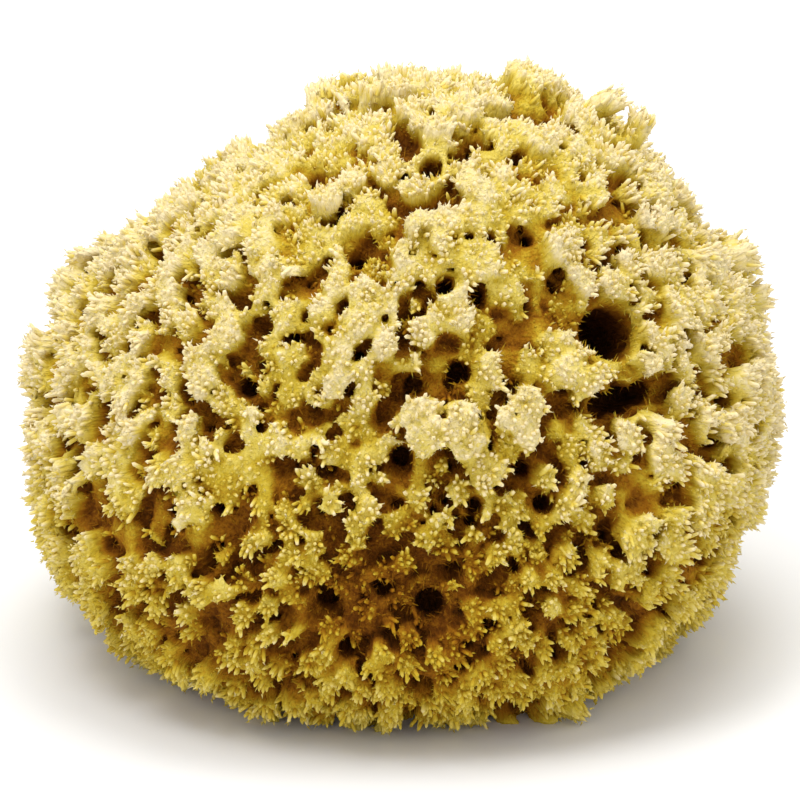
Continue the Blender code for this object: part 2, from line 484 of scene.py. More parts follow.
    def tuft(self, point: Array, axis: Array, habit: Habit, rng: np.random.Generator) -> list[tuple]:
        """Grow one tuft's fingers.

        Args:
            point: The tip that the form gives the tuft.
            axis: The way it points.
            habit: The sizes of its way of growing.
            rng: The source of what differs.

        Returns:
            One entry a finger, in the order that Fingers has.
        """
        side, other = (row[0] for row in sides_of(axis[None]))
        turn = rng.uniform(0, math.tau)
        bunches = int(rng.integers(habit.bunches[0], habit.bunches[1] + 1))
        shorter = rng.uniform(*habit.tuft_shorter) - float(self.swells.at(point[None])[0])
        grown = []
        for k in range(bunches):
            angle = turn + math.tau * k / bunches
            apart = habit.bunch_apart * rng.uniform(*self.apart_share)
            head = point + (side * math.cos(angle) * habit.narrow + other * math.sin(angle)) * apart
            lean = unit(axis + (side * rng.normal() + other * rng.normal()) * self.lean)
            head = head - axis * (shorter + rng.uniform(*habit.bunch_shorter))
            root = head - lean * self.form.tuft_length * rng.uniform(*self.length_share)
            radius = rng.uniform(*habit.head_radius)
            count = int(rng.integers(habit.fingers[0], habit.fingers[1] + 1))
            squeeze = rng.uniform(*self.squeeze) * habit.narrow
            for j in range(count):
                out = radius * math.sqrt((j + 0.5) / count)
                around = j * math.pi * GOLDEN_SHARE + turn
                spread = side * math.cos(around) * squeeze + other * math.sin(around)
                lower = self.dome * out * out / radius + rng.uniform(self.tallest, habit.ragged)
                tip = head + spread * out - lean * lower
                start = root + spread * out * self.root_spread
                way = lean + spread * habit.splay * out / radius
                grown.append(self.finger(start, tip, way, habit, rng))
        return grown

    def undergrowth(
        self, point: Array, axis: Array, habit: Habit, gap: float, rng: np.random.Generator
    ) -> list[tuple]:
        """Grow the small clumps low in the crevices round one tuft, lower in a gap of the growth.

        Args:
            point: The tip that the form gives the tuft.
            axis: The way it points.
            habit: The sizes of the clumps' way of growing.
            gap: How thin the growth is there.
            rng: The source of what differs.

        Returns:
            One entry a finger, in the order that Fingers has.
        """
        side, other = (row[0] for row in sides_of(axis[None]))
        lift = float(self.swells.at(point[None])[0]) - self.gap_depth * gap
        grown = []
        for _ in range(self.low_clumps):
            angle, out = rng.uniform(0, math.tau), rng.uniform(*self.low_ring)
            foot = point + (side * math.cos(angle) + other * math.sin(angle)) * out
            lean = unit(axis + (side * rng.normal() + other * rng.normal()) * self.low_lean)
            head = foot - axis * (rng.uniform(*self.low_depth) - lift)
            turn = rng.uniform(0, math.tau)
            for k in range(self.low_fingers):
                around = turn + math.tau * k / self.low_fingers
                spread = side * math.cos(around) + other * math.sin(around)
                tip = head + spread * rng.uniform(*self.low_spread) - lean * rng.uniform(0, self.low_ragged)
                way = lean + spread * habit.splay
                grown.append(self.finger(head - lean * self.low_length, tip, way, habit, rng))
        return grown

    def finger(
        self, start: Array, tip: Array, way: Array, habit: Habit, rng: np.random.Generator
    ) -> tuple:
        """Describe one finger.

        Args:
            start: Where it is rooted.
            tip: Its tip.
            way: The way that its free end points.
            habit: The sizes of its way of growing.
            rng: The source of what differs.

        Returns:
            Its entry, in the order that Fingers has.
        """
        thick = rng.uniform(*self.finger_thick)
        way = way + rng.normal(0, self.finger_sway, 3)
        return start, tip, habit.finger_root * thick, habit.finger_tip * thick, way / np.linalg.norm(way)


@dataclass
class Block:
    """A block of numbers on a grid round the sponge, below 0 inside the sponge."""

    low: Array
    step: float
    shape: tuple[int, int, int]
    add_margin: float = 1.6
    take_margin: float = 2.4
    values: Array = field(init=False)

    def __post_init__(self) -> None:
        """Start with nothing inside."""
        self.values = np.full(self.shape, FAR_OUT, np.float32)

    def line(self, axis: int, first: int, last: int) -> Array:
        """Give the coordinates along an axis from one step of the grid up to another."""
        return (self.low[axis] + self.step * np.arange(first, last)).astype(np.float32)

    def window(self, low: Array, high: Array) -> tuple[tuple[slice, ...], tuple[Array, ...]]:
        """Find the part of the block round a box.

        Args:
            low: The box's lowest corner.
            high: Its highest.

        Returns:
            The slices of the block, and the coordinates along each axis shaped to broadcast.
        """
        first = np.maximum(np.floor((low - self.low) / self.step).astype(int), 0)
        last = np.minimum(np.ceil((high - self.low) / self.step).astype(int) + 1, self.shape)
        x, y, z = (self.line(k, first[k], last[k]) for k in range(3))
        cut = tuple(slice(a, max(a, b)) for a, b in zip(first, last))
        return cut, (x[:, None, None], y[None, :, None], z[None, None, :])

    def stroke(
        self, start: Array, end: Array, start_radius: float, end_radius: float, margin: float
    ) -> tuple[tuple[slice, ...], Array]:
        """Work out the distance to a tapered rod, near it.

        Args:
            start: One end of its middle line.
            end: The other end.
            start_radius: Its radius at the start.
            end_radius: Its radius at the end.
            margin: How far round it to work.

        Returns:
            The slices of the block, and the distances there, below 0 inside the rod.
        """
        wide = max(start_radius, end_radius) + margin
        cut, (x, y, z) = self.window(np.minimum(start, end) - wide, np.maximum(start, end) + wide)
        along = (end - start).astype(np.float32)
        square = float(along @ along)
        dx, dy, dz = x - np.float32(start[0]), y - np.float32(start[1]), z - np.float32(start[2])
        t = np.clip((dx * along[0] + dy * along[1] + dz * along[2]) / np.float32(square), 0, 1)
        away = (dx - t * along[0]) ** 2 + (dy - t * along[1]) ** 2 + (dz - t * along[2]) ** 2
        return cut, np.sqrt(away) - (start_radius + (end_radius - start_radius) * t)

    def add_rod(self, start: Array, end: Array, start_radius: float, end_radius: float) -> None:
        """Put a tapered rod in."""
        cut, away = self.stroke(start, end, start_radius, end_radius, self.add_margin)
        np.minimum(self.values[cut], away, out=self.values[cut])

    def take_rod(self, start: Array, end: Array, start_radius: float, end_radius: float) -> None:
        """Take a tapered rod away."""
        cut, away = self.stroke(start, end, start_radius, end_radius, self.take_margin)
        np.maximum(self.values[cut], -away, out=self.values[cut])

    def spread(self, coarse: Array) -> Array:
        """Stretch a small grid smoothly over the whole block.

        Args:
            coarse: The numbers on the small grid.

        Returns:
            The numbers on this one.
        """
        for axis, size in enumerate(self.shape):
            place = np.linspace(0, coarse.shape[axis] - 1, size)
            first = np.minimum(place.astype(int), coarse.shape[axis] - 2)
            share = (place - first).astype(np.float32)
            share = share * share * (3 - 2 * share)
            share = share.reshape([-1 if k == axis else 1 for k in range(3)])
            low, high = np.take(coarse, first, axis), np.take(coarse, first + 1, axis)
            coarse = low + (high - low) * share
        return coarse

    def noise(self, scale: float, rng: np.random.Generator) -> Array:
        """Make smooth noise from -1 to 1 whose lumps are about this many millimetres apart."""
        small = [max(2, int(size * self.step / scale) + 1) for size in self.shape]
        return self.spread(rng.uniform(-1, 1, small).astype(np.float32))

    def blurred(self, values: Array, radius: int, passes: int) -> Array:
        """Average each number with its neighbours along every axis, several times over.

        Args:
            values: Numbers on this grid.
            radius: How many steps to either side.
            passes: How many times.

        Returns:
            The averaged numbers.
        """
        wide = 2 * radius + 1
        for _ in range(passes):
            for axis in range(3):
                edges = [(radius + 1, radius) if k == axis else (0, 0) for k in range(3)]
                total = np.cumsum(np.pad(values, edges, mode="edge"), axis=axis, dtype=np.float32)
                ahead = np.take(total, range(wide, total.shape[axis]), axis)
                behind = np.take(total, range(total.shape[axis] - wide), axis)
                values = (ahead - behind) / wide
        return values

    def joined(self, places: Array, start: Array) -> Array:
        """Find the places that are joined side by side to some that are known.

        Args:
            places: True where a place may be one of them.
            start: True in the known places.

        Returns:
            True in each place that is joined to a known one.
        """
        found, count = places & start, 0
        while count < np.count_nonzero(found):
            count = np.count_nonzero(found)
            wider = found.copy()
            for axis in range(3):
                ahead, behind = np.moveaxis(wider, axis, 0), np.moveaxis(found, axis, 0)
                ahead[1:] |= behind[:-1]
                ahead[:-1] |= behind[1:]
            found = wider & places
        return found

    def tidy(self, core: Array) -> None:
        """Empty the loose crumbs, which aren't joined to the core, and fill the closed bubbles.

        Args:
            core: True in the core's places.
        """
        rim = np.ones(self.shape, bool)
        rim[1:-1, 1:-1, 1:-1] = False
        inside = self.joined(self.values < 0, core)
        outside = self.joined(~inside, rim)
        least = 0.05  # so that each changed number lies clear of 0
        size = np.maximum(np.abs(self.values), least)
        crumbs, bubbles = (self.values < 0) & ~inside, ~inside & ~outside
        self.values = np.where(bubbles, -size, np.where(crumbs, size, self.values)).astype(np.float32)

    def read(self, values: Array, points: Array) -> Array:
        """Read numbers on this grid at any points, smoothly.

        Args:
            values: Numbers on this grid.
            points: The points, one a row.

        Returns:
            The number at each point.
        """
        place = (points - self.low) / self.step
        top = np.array(self.shape) - 2
        first = np.clip(place.astype(int), 0, top)
        share = np.clip(place - first, 0, 1)
        found = np.zeros(len(points))
        for corner in range(8):
            offset = np.array([corner >> k & 1 for k in range(3)])
            weight = np.prod(np.where(offset, share, 1 - share), axis=1)
            at = first + offset
            found += weight * values[at[:, 0], at[:, 1], at[:, 2]]
        return found


@dataclass(frozen=True)
class Setting:
    """How some points lie in the sponge, one number a point.

    They are the depth below the form, the filled shares of a wide and of a narrow space round the point, how
    thin the growth is there, and the height above the form's middle, square to the line of sight.
    """

    depth: Array
    hidden: Array
    blunt: Array
    thin: Array
    height: Array


@dataclass(frozen=True)
class Skin:
    """A surface: its corners, its faces of three or four corners, and how its corners lie."""

    points: Array
    triangles: Array
    quads: Array
    setting: Setting


@dataclass(frozen=True)
class Foot:
    """The canals and the pores that the cut laid open in the foot."""

    start: float = -2.0
    taper: float = 0.6
    pores: int = 150
    pore_start: float = -1.5
    pore_length: Pair = (4.0, 8.0)
    pore_radius: Pair = (0.8, 2.0)
    lean: float = 1.5
    reach: float = 58.0
    squash: float = 0.88
    shift: float = 3.0

    def open(self, block: Block, rng: np.random.Generator) -> None:
        """Take them out of the body.

        Args:
            block: The body's block.
            rng: The source of the pores' places and sizes.
        """
        for canal in FOOT_CANALS:
            foot = np.array([*canal.place, self.start])
            way = np.array([0, 0, canal.depth])
            block.take_rod(foot, foot + way, canal.radius, canal.radius * self.taper)
        for _ in range(self.pores):
            angle, out = rng.uniform(0, math.tau), self.reach * math.sqrt(rng.random())
            back = self.squash * out * math.sin(angle) - self.shift
            foot = np.array([out * math.cos(angle), back, self.pore_start])
            aside = [rng.normal() * self.lean for _ in range(2)]
            way = np.array([*aside, rng.uniform(*self.pore_length)])
            radius = rng.uniform(*self.pore_radius)
            block.take_rod(foot, foot + way, radius, radius * self.taper)


@dataclass
class Body:
    """The sponge's fused body: its core, the heaps in its crevices and its fingers but for their ends."""

    form: Form
    tufts: Tufts
    step: float = 1.15
    free_end: float = 1.1
    margin: float = 8.0
    core_depth: float = 9.5
    thin_depth: float = 2.5
    core_rough: float = 3.4
    core_scale: float = 3.6
    heap_height: float = 3.5
    heap_scale: float = 7.0
    fine_rough: float = 0.4
    fine_scale: float = 1.9
    lumpy_rough: float = 0.25
    lumpy_scale: float = 3.6
    softened: float = 0.35
    open_above: float = 4.0  # how far out of the form a large canal is cut
    small_above: float = -2.0
    flare: float = 1.05
    taper: float = 0.7
    pores: int = 1_100
    pore_radius: Pair = (0.7, 1.7)
    pore_depths: Pair = (5.5, 15.0)
    pore_lean: float = 0.25
    core_start: float = 14.0  # below the form, where the body is joined for certain
    thinning: float = 0.3
    block: Block = field(init=False)
    depth: Array = field(init=False)
    thin: Array = field(init=False)
    hidden: Array = field(init=False)
    blunt: Array = field(init=False)

    def __post_init__(self) -> None:
        """Lay out the block round the sponge."""
        low, high = (np.array(corner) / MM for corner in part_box("sponge"))
        low = low - self.margin
        shape = np.ceil((high + self.margin - low) / self.step).astype(int)
        self.block = Block(low, self.step, tuple(int(n) for n in shape))

    def measure(self) -> tuple[Array, Array, Array]:
        """Measure the block's places against the form.

        Returns:
            How far below the form each place is, the same where only the rises count and no hollow, and how
            thin the growth is there.
        """
        block = self.block
        small = [max(2, n // 3) for n in block.shape]
        last = [low + block.step * (n - 1) for low, n in zip(block.low, block.shape)]
        lines = [np.linspace(*ends) for ends in zip(block.low, last, small)]
        places = np.stack(np.meshgrid(*lines, indexing="ij"), axis=-1).reshape(-1, 3)
        out = places - np.array(self.form.middle)
        far = np.linalg.norm(out, axis=1)
        ways = out / np.maximum(far, 1e-6)[:, None]
        reach, axes = self.form.reach(ways)
        steep = np.sum(ways * axes, axis=1)
        below = (reach - far) * steep
        lift = self.tufts.swells.at(places)
        thin = self.tufts.thin_places.at(places)
        measures = (below + lift, below + np.maximum(lift, 0), thin)
        return tuple(block.spread(values.reshape(small).astype(np.float32)) for values in measures)

    def grow(self, fingers: Fingers, rng: np.random.Generator) -> Skin:
        """Fuse the body and give its surface.

        Args:
            fingers: The fingers of all the tufts.
            rng: The source of its roughness.

        Returns:
            The surface.
        """
        block = self.block
        below, self.depth, thin = self.measure()
        self.thin = np.clip(thin, 0, 1)
        core = self.core_depth + self.thin_depth * self.thin - below
        core += self.core_rough * block.noise(self.core_scale, rng)
        core -= self.heap_height * np.maximum(block.noise(self.heap_scale, rng), 0)
        block.values = core.astype(np.float32)
        ends = fingers.tips - unit(fingers.tips - fingers.roots) * self.free_end
        for row in zip(fingers.roots, ends, fingers.root_radii, fingers.tip_radii):
            block.add_rod(*row)
        self.open_canals(rng)
        block.values += self.fine_rough * block.noise(self.fine_scale, rng)
        block.values += self.lumpy_rough * block.noise(self.lumpy_scale, rng)
        soft = block.blurred(block.values, 1, 1)
        block.values = soft * self.softened + block.values * (1 - self.softened)
        ground = block.line(2, 0, block.shape[2])
        np.maximum(block.values, -ground[None, None, :], out=block.values)
        block.tidy(self.depth > self.core_start)
        # how hidden and how blunt each place is, which the painted light and shade read as well as the
        # bristles
        filled = np.clip(0.5 - block.values / block.step, 0, 1)
        self.hidden = block.blurred(filled, 3, 2)
        self.blunt = block.blurred(filled, 1, 2)
        return self.surface()

    def open_canals(self, rng: np.random.Generator) -> None:
        """Take the canals and the pores out of the body.

        Args:
            rng: The source of the pores' places and sizes.
        """
        for mouth, axis, radius, depth in self.tufts.canals:
            bottom = mouth - axis * (depth + radius)
            top = mouth + axis * (self.open_above if radius > OPEN_RADIUS else self.small_above)
            self.block.take_rod(top, bottom, radius * self.flare, radius * self.taper)
        tips, axes = self.form.tips(unit(rng.normal(size=(self.pores, 3))))
        for tip, axis in zip(tips, unit(axes + rng.normal(0, self.pore_lean, axes.shape))):
            radius = rng.uniform(*self.pore_radius)
            start, end = (tip - axis * depth for depth in self.pore_depths)
            self.block.take_rod(start, end, radius, radius * self.taper)
        Foot().open(self.block, rng)

    def outward(self, points: Array) -> Array:
        """Find the direction straight out of the body at points of its surface.

        Args:
            points: The points, one a row.

        Returns:
            The unit direction at each.
        """
        slopes = []
        for axis in np.eye(3) * self.step:
            ahead = self.block.read(self.block.values, points + axis)
            slopes.append(ahead - self.block.read(self.block.values, points - axis))
        return unit(np.stack(slopes, axis=1))

    def setting(self, points: Array) -> Setting:
        """Find how points lie in the sponge.

        Args:
            points: The points, one a row.

        Returns:
            Their setting.
        """
        grids = (self.depth, self.hidden, self.blunt, self.thin)
        found = (self.block.read(values, points) for values in grids)
        return Setting(*found, (points - np.array(self.form.middle)) @ self.form.up)

    def surface(self) -> Skin:
        """Draw the body's surface.

        Returns:
            The surface, with no corner below the ground.
        """
        block = self.block
        grid = openvdb.FloatGrid(FAR_OUT)
        grid.copyFromArray(block.values)
        points, triangles, quads = grid.convertToPolygons(isovalue=0.0, adaptivity=self.thinning)
        points = points.astype(np.float64) * block.step + block.low
        points[:, 2] = np.maximum(points[:, 2], 0)
        return Skin(points, triangles[:, ::-1], quads[:, ::-1], self.setting(points))


@dataclass(frozen=True)
class PaintedShading:
    """How pale the fibre is painted by light and shade, from 1 at the sunlit tips to 0 deep between the
    tufts.

    Painted shade dims it by depth, by hiding, by thin growth and low on the sponge, and stays above a
    floor, which is lower in the deepest places. Sharp edges get a painted highlight. Depths and heights
    are in millimetres.
    """

    palest: float = 0.84
    by_depth: float = 0.071
    lit_depth: float = 3.0
    by_hiding: float = 0.8
    lit_hiding: float = 0.42
    by_thinness: float = 0.16
    by_edge: float = 0.6
    even_edge: float = 0.5
    most_edge: float = 0.25
    by_height: float = 0.26
    low_heights: Pair = (0.0, -56.0)
    floor: float = 0.27
    deep_floor: float = 0.18
    deep_depths: Pair = (11.0, 16.0)
    thin_floor: float = 0.4
    low_floor: float = 0.05
    low_floor_heights: Pair = (12.0, -25.0)
    darkest: float = 0.06

    def at(self, lie: Setting) -> Array:
        """Work out the painted light and shade of some points, as a tone.

        Args:
            lie: How the points lie in the sponge.

        Returns:
            The tone of each.
        """
        # painted shade: darker the deeper a point lies below the form and the more fibre hides it
        buried = self.by_depth * np.maximum(lie.depth - self.lit_depth, 0)
        buried += self.by_hiding * np.maximum(lie.hidden - self.lit_hiding, 0)
        # painted light: paler where little of the narrow space round a point is filled, at tips and edges,
        # darker in tight folds
        edge = np.clip(self.even_edge - lie.blunt, -self.most_edge, self.most_edge)
        # painted shade: darker low on the sponge, where less of the light from above falls
        low = self.by_height * smooth_step(lie.height, *self.low_heights)
        # the floor that the painted shade stays above: lower in deep places, in thin growth and low on the
        # sponge
        floor = self.floor - self.deep_floor * smooth_step(lie.depth, *self.deep_depths)
        floor *= 1 - self.thin_floor * lie.thin
        floor -= self.low_floor * smooth_step(lie.height, *self.low_floor_heights)
        # painted shade also dims thin growth, where the gaps between the tufts are deep
        dimmed = self.palest - buried - self.by_thinness * lie.thin - low
        return np.clip(np.maximum(dimmed, floor) + self.by_edge * edge, self.darkest, 1)


PAINTED_SHADING = PaintedShading()


@dataclass(frozen=True)
class Ring:
    """One ring of a spike's corners: its share along, and the shares of its width and bend there."""

    along: float
    width: float
    bend: float


@dataclass(frozen=True)
class Spikes:
    """The make of many small spikes: their rings below the end point, their sides and how far they bend."""

    rings: tuple[Ring, ...]
    sides: int
    bend: float

    def build(
        self, starts: Array, ways: Array, lengths: Array, radii: Array, rng: np.random.Generator
    ) -> tuple[Array, ...]:
        """Build each spike.

        Args:
            starts: Where each spike starts.
            ways: The way it points.
            lengths: How long it is.
            radii: Half its width.
            rng: The source of what differs.

        Returns:
            The corners, the triangles, and for each corner its spike's number and its share along it.
        """
        count, sides = len(starts), self.sides
        side, other = sides_of(ways)
        sway = rng.normal(0, self.bend, (2, count, 1))
        bend = (side * sway[0] + other * sway[1]) * lengths[:, None]
        turn = rng.uniform(0, math.tau, count)
        size = len(self.rings) * sides + 1
        corners = np.zeros((count, size, 3))
        shares = np.ones((count, size))
        for row, ring in enumerate(self.rings):
            middle = starts + ways * lengths[:, None] * ring.along + bend * ring.bend
            for k in range(sides):
                angle = (turn + math.tau * (k + 0.5 * row) / sides)[:, None]
                round_it = side * np.cos(angle) + other * np.sin(angle)
                corners[:, row * sides + k] = middle + round_it * radii[:, None] * ring.width
                shares[:, row * sides + k] = ring.along
        corners[:, -1] = starts + ways * lengths[:, None] + bend
        faces = []
        for k in range(sides):
            n = (k + 1) % sides
            for row in range(0, size - 1 - sides, sides):
                faces += [(row + k, row + n, row + sides + k), (row + n, row + sides + n, row + sides + k)]
            faces.append((size - 1 - sides + k, size - 1 - sides + n, size - 1))
        triangles = (np.arange(count)[:, None, None] * size + np.array(faces)).reshape(-1, 3)
        points = corners.reshape(-1, 3)
        points[:, 2] = np.maximum(points[:, 2], 0)
        return points, triangles, np.repeat(np.arange(count), size), shares.reshape(-1)


FINE_SPIKES = Spikes((Ring(0.0, 1.0, 0.0),), 3, 0.2)


@dataclass(frozen=True)
class FreeEnds:
    """The fingers' blunt free ends, side by side like the hairs of a brush, with fine hairs on them."""

    body: Body
    length: Pair = (2.8, 4.0)
    beyond: Pair = (-0.5, 0.9)
    radius: Pair = (0.42, 0.62)
    lowest: float = 0.6
    uneven: float = 0.06
    root_shade: float = -0.1
    tip_highlight: float = 0.18
    make: Spikes = Spikes((Ring(0.0, 1.15, 0.0), Ring(0.84, 0.84, 0.7)), 4, 0.1)
    hairs: int = 31_000
    hair_length: Pair = (0.6, 1.3)
    hair_radius: Pair = (0.2, 0.32)
    hair_lean: Pair = (0.2, 1.1)
    hair_aside: float = 0.15
    hair_share: float = 0.6  # of the end's length has hairs
    hair_crowding: float = 1.5
    hair_tip_highlight: float = 0.1
    hair: Spikes = FINE_SPIKES

    def grow(self, fingers: Fingers, rng: np.random.Generator) -> list[tuple[Array, ...]]:
        """Grow them, and the fine hairs on their sides.

        Args:
            fingers: The fingers.
            rng: The source of what differs.

        Returns:
            For the ends and for the hairs, the corners, the triangles, and the tone of each corner.
        """
        count = len(fingers.tips)
        lengths = rng.uniform(*self.length, count)
        starts = fingers.tips + fingers.ways * (rng.uniform(*self.beyond, count) - lengths)[:, None]
        held = self.body.block.read(self.body.block.values, starts) < 0
        held &= fingers.tips[:, 2] > self.lowest
        starts, ways, lengths = starts[held], fingers.ways[held], lengths[held]
        count = len(starts)
        radii = rng.uniform(*self.radius, count)
        points, triangles, owner, share = self.make.build(starts, ways, lengths, radii, rng)
        # painted light and shade of where each corner lies, with some random difference between ends
        tone = PAINTED_SHADING.at(self.body.setting(points)) + rng.normal(0, self.uneven, count)[owner]
        # painted shade at each end's root and a painted highlight towards its tip
        ends = points, triangles, tone + self.root_shade + self.tip_highlight * share**2
        chosen = rng.choice(count, self.hairs)
        along = 1 - self.hair_share * rng.random(self.hairs) ** self.hair_crowding
        side, other = sides_of(ways[chosen])
        angle = rng.uniform(0, math.tau, (self.hairs, 1))
        aside = side * np.cos(angle) + other * np.sin(angle)
        places = starts[chosen] + ways[chosen] * (lengths[chosen] * along)[:, None]
        places += aside * self.hair_aside
        leans = unit(ways[chosen] + aside * rng.uniform(*self.hair_lean, (self.hairs, 1)))
        reach = rng.uniform(*self.hair_length, self.hairs)
        thick = rng.uniform(*self.hair_radius, self.hairs)
        points, triangles, owner, share = self.hair.build(places, leans, reach, thick, rng)
        # painted light and shade of where each hair's corners lie, with some random difference between hairs
        tone = PAINTED_SHADING.at(self.body.setting(points)) + rng.normal(0, self.uneven, self.hairs)[owner]
        # each hair painted paler towards its tip, a painted highlight
        return [ends, (points, triangles, tone + self.hair_tip_highlight * share)]


@dataclass(frozen=True)
class Bristles:
    """The short bristles all over the body, longest in its crevices, where they lie every way."""

    body: Body
    count: int = 50_000
    radius: Pair = (0.22, 0.38)
    length: Pair = (0.3, 0.9)
    deep_length: Pair = (0.8, 2.4)
    at_edges: float = 0.5
    blunt: Pair = (0.3, 0.56)
    hidden: Pair = (0.6, 0.95)
    ending: Pair = (12.0, 20.0)  # the depths over which they end
    deep: Pair = (6.0, 10.0)  # the depths over which they change to the deep sort
    lowest: float = 1.0
    upright: float = 0.5
    scatter: float = 0.4
    deep_scatter: float = 1.0
    sunk: float = 0.35
    uneven: float = 0.05
    tip_highlight: float = 0.14
    make: Spikes = FINE_SPIKES

    def grow(self, skin: Skin, rng: np.random.Generator) -> tuple[Array, ...]:
        """Grow them as one set of corners and faces.

        Args:
            skin: The body's surface, which they stand on.
            rng: The source of what differs.

        Returns:
            The corners, the triangles, and the tone of each corner.
        """
        lie = skin.setting
        sharp = 1 - smooth_step(lie.blunt, *self.blunt)
        weight = (1 - self.at_edges + self.at_edges * sharp) * (1 - smooth_step(lie.hidden, *self.hidden))
        weight *= (1 - smooth_step(lie.depth, *self.ending)) * (skin.points[:, 2] > self.lowest)
        chosen = rng.choice(len(weight), self.count, replace=False, p=weight / weight.sum())
        places = skin.points[chosen]
        out = places - np.array(self.body.form.middle)
        _, axes = self.body.form.reach(unit(out))
        normals = self.body.outward(places)
        deep = smooth_step(lie.depth[chosen], *self.deep)
        share = rng.random(self.count)
        shallow_reach = self.length[0] + (self.length[1] - self.length[0]) * share
        deep_reach = self.deep_length[0] + (self.deep_length[1] - self.deep_length[0]) * share
        lengths = shallow_reach + (deep_reach - shallow_reach) * deep + self.sunk
        scatter = self.scatter + (self.deep_scatter - self.scatter) * deep[:, None]
        ways = unit(normals + axes * self.upright + rng.normal(0, 1, places.shape) * scatter)
        radii = rng.uniform(*self.radius, self.count)
        starts = places - ways * self.sunk
        points, triangles, owner, share = self.make.build(starts, ways, lengths, radii, rng)
        uneven = rng.normal(0, self.uneven, self.count)[owner]
        # painted light and shade of each bristle's root, with a painted highlight towards its tip and some
        # random difference
        return points, triangles, PAINTED_SHADING.at(lie)[chosen][owner] + self.tip_highlight * share + uneven


@dataclass(frozen=True)
class Grain:
    """The fine unevenness of the fibre, as a shader group with the tone going in and coming out."""

    name: str = "fibre_grain"
    middle: tuple[float, float, float] = Form.middle
    ball_radius: float = 75.0
    along: float = 0.25
    speckle_detail: float = 3.0
    patch_detail: float = 2.0
    inputs: tuple[tuple[str, float], ...] = (
        ("Tone", 0.5),
        ("Speckle", 0.2),
        ("Speckle Scale", 900.0),
        ("Patch", 0.1),
        ("Patch Scale", 40.0),
    )

    def group(self) -> bpy.types.NodeTree:
        """Build the group once, and give it back after that.

        Returns:
            The group.
        """
        made = bpy.data.node_groups.get(self.name)
        if made:
            return made
        made = bpy.data.node_groups.new(self.name, "ShaderNodeTree")
        sockets = made.interface
        for title, value in self.inputs:
            socket = sockets.new_socket(title, in_out="INPUT", socket_type="NodeSocketFloat")
            socket.default_value = value
        for title in ("Tone", "Height"):
            sockets.new_socket(title, in_out="OUTPUT", socket_type="NodeSocketFloat")
        nodes, links = made.nodes, made.links
        given, result = nodes.new("NodeGroupInput"), nodes.new("NodeGroupOutput")
        place = nodes.new("ShaderNodeTexCoord").outputs["Object"]
        drawn_out = self.drawn_out(made, place)
        tone = given.outputs["Tone"]
        noises = []
        for title, where, detail in (
            ("Speckle", drawn_out, self.speckle_detail),
            ("Patch", place, self.patch_detail),
        ):
            noise = nodes.new("ShaderNodeTexNoise")
            noise.inputs["Detail"].default_value = detail
            noises.append(noise)
            centred = nodes.new("ShaderNodeMath")
            centred.operation = "SUBTRACT"
            centred.inputs[1].default_value = 0.5
            added = nodes.new("ShaderNodeMath")
            added.operation = "MULTIPLY_ADD"
            links.new(where, noise.inputs["Vector"])
            links.new(given.outputs[f"{title} Scale"], noise.inputs["Scale"])
            links.new(noise.outputs["Fac"], centred.inputs[0])
            links.new(centred.outputs[0], added.inputs[0])
            links.new(given.outputs[title], added.inputs[1])
            links.new(tone, added.inputs[2])
            tone = added.outputs[0]
        links.new(tone, result.inputs["Tone"])
        links.new(noises[0].outputs["Fac"], result.inputs["Height"])
        return made

    def drawn_out(self, tree: bpy.types.NodeTree, place: bpy.types.NodeSocket) -> bpy.types.NodeSocket:
        """Change a place so that a pattern read there is drawn out along the tufts, away from the middle.

        Args:
            tree: The group.
            place: The output that gives the place.

        Returns:
            The output that gives the changed place.
        """
        steps = []
        for operation in ("SUBTRACT", "NORMALIZE", "SCALE", "MULTIPLY_ADD"):
            step = tree.nodes.new("ShaderNodeVectorMath")
            step.operation = operation
            steps.append(step)
        away, way, ball, joined = steps
        away.inputs[1].default_value = Vector(self.middle) * MM
        ball.inputs["Scale"].default_value = self.ball_radius * MM
        joined.inputs[1].default_value = (self.along, self.along, self.along)
        tree.links.new(place, away.inputs[0])
        tree.links.new(away.outputs[0], way.inputs[0])
        tree.links.new(way.outputs[0], ball.inputs[0])
        tree.links.new(away.outputs[0], joined.inputs[0])
        tree.links.new(ball.outputs[0], joined.inputs[2])
        return joined.outputs[0]


